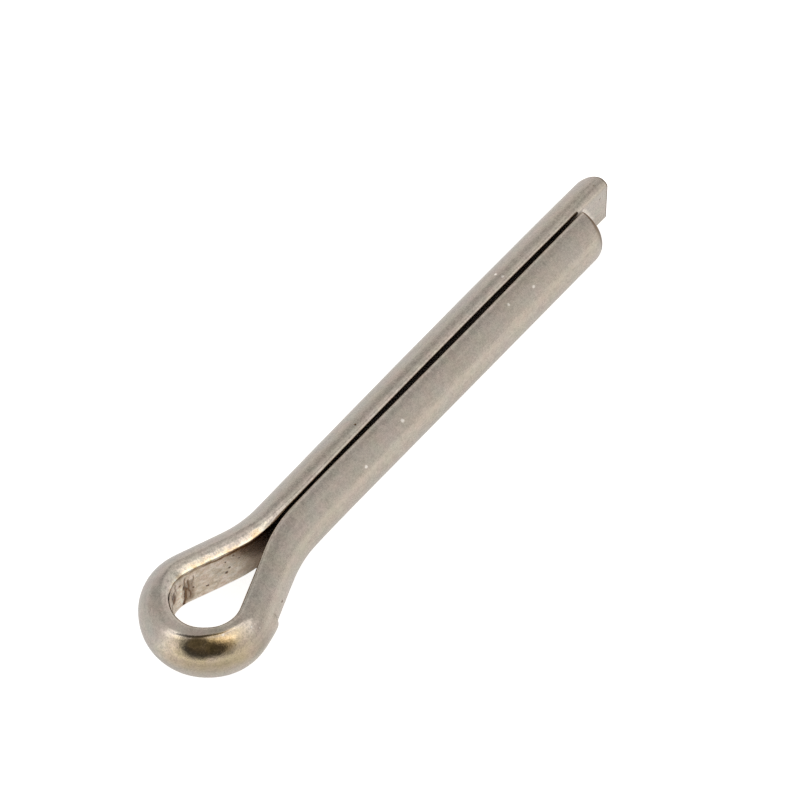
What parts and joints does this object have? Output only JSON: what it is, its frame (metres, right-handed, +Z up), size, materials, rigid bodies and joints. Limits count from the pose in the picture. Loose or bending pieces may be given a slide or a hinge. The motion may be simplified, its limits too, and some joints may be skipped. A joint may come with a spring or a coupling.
{
  "type": "cotter pin",
  "caption": "Split cotter pin of half-round steel wire: a round-backed eye, two legs lying flat to flat, and one leg longer than the other.",
  "frame": {"origin": "on the surface the pin lies on, below the middle of its overall length, on the centre line of the shank", "axes": "+X from the eye along the shank to the tips, +Y across the shank towards the long leg, +Z up, square to the plane that the wire is bent in"},
  "size_m": [0.0446, 0.0088, 0.0044],
  "materials": {
    "steel": "satin, tumbled stainless steel"
  },
  "bodies": {
    "root": {"cotter_pin": "steel"}
  },
  "joints": []
}
